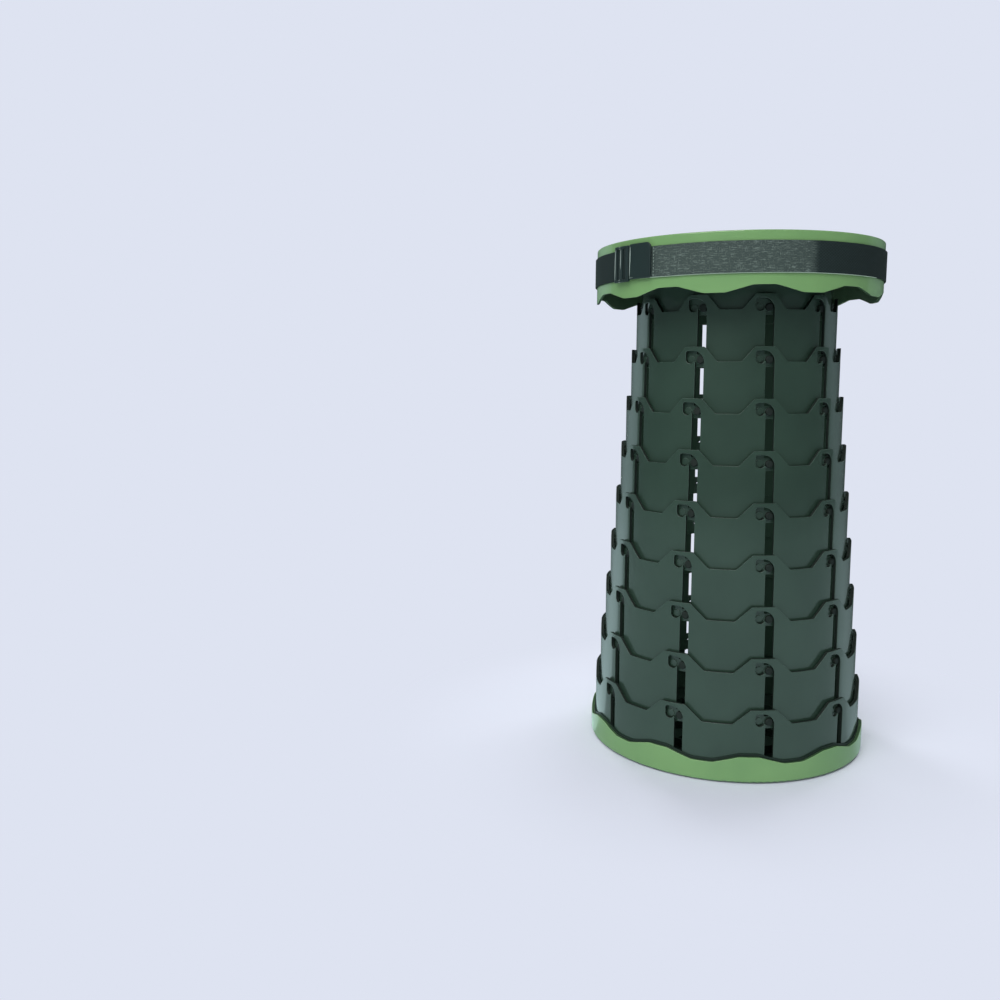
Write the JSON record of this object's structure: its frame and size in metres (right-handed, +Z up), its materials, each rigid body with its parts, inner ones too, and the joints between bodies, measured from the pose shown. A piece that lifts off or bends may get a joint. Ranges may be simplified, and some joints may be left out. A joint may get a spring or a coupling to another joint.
{
  "type": "collapsible telescopic stool",
  "caption": "Round stool whose seat stands on nested slotted sleeves that slide into one another, so it folds to a flat drum with a webbing carrying loop.",
  "frame": {"origin": "middle of the base's underside, at floor level", "axes": "+Z up along the column, -Y the front, +X to the right seen from the front"},
  "size_m": [0.2532, 0.3273, 0.45],
  "materials": {
    "skirt_green": "satin moulded polypropylene, light green",
    "column_green": "satin moulded nylon, dark green",
    "tray_dark": "matt moulded plastic, dark green",
    "panel_dark": "fine-grained moulded plastic, dark green",
    "foot_rubber": "matt rubber",
    "screw_steel": "zinc-plated steel",
    "webbing": "woven polypropylene webbing with pale threads",
    "strap_plastic": "smooth dark plastic",
    "rivet_metal": "bright nickel plate"
  },
  "bodies": {
    "base": {"base_skirt": "skirt_green", "base_tray": "tray_dark", "foot_pads": "foot_rubber", "sleeve_9": "column_green"},
    "tier_8": {"sleeve_8": "column_green"},
    "tier_7": {"sleeve_7": "column_green"},
    "tier_6": {"sleeve_6": "column_green"},
    "tier_5": {"sleeve_5": "column_green"},
    "tier_4": {"sleeve_4": "column_green"},
    "tier_3": {"sleeve_3": "column_green"},
    "tier_2": {"sleeve_2": "column_green"},
    "tier_1": {"sleeve_1": "column_green"},
    "seat": {"seat_tube": "column_green", "seat_skirt": "skirt_green", "seat_panel": "panel_dark", "seat_carrier": "panel_dark", "seat_screws": "screw_steel", "strap_band": "webbing", "strap_loop": "webbing", "strap_slider": "strap_plastic", "strap_keeper": "strap_plastic", "strap_rivets": "rivet_metal", "rivet_washers": "rivet_metal"}
  },
  "joints": [
    {"name": "sleeve_8_slide", "type": "slide", "parent": "base", "child": "tier_8", "axis": [0, 0, 1], "range_m": [-0.04277, 0]},
    {"name": "sleeve_7_slide", "type": "slide", "parent": "tier_8", "child": "tier_7", "axis": [0, 0, 1], "range_m": [-0.04277, 0]},
    {"name": "sleeve_6_slide", "type": "slide", "parent": "tier_7", "child": "tier_6", "axis": [0, 0, 1], "range_m": [-0.04277, 0]},
    {"name": "sleeve_5_slide", "type": "slide", "parent": "tier_6", "child": "tier_5", "axis": [0, 0, 1], "range_m": [-0.04277, 0]},
    {"name": "sleeve_4_slide", "type": "slide", "parent": "tier_5", "child": "tier_4", "axis": [0, 0, 1], "range_m": [-0.04277, 0]},
    {"name": "sleeve_3_slide", "type": "slide", "parent": "tier_4", "child": "tier_3", "axis": [0, 0, 1], "range_m": [-0.04277, 0]},
    {"name": "sleeve_2_slide", "type": "slide", "parent": "tier_3", "child": "tier_2", "axis": [0, 0, 1], "range_m": [-0.04277, 0]},
    {"name": "sleeve_1_slide", "type": "slide", "parent": "tier_2", "child": "tier_1", "axis": [0, 0, 1], "range_m": [-0.04277, 0]},
    {"name": "seat_slide", "type": "slide", "parent": "tier_1", "child": "seat", "axis": [0, 0, 1], "range_m": [-0.04277, 0]}
  ]
}
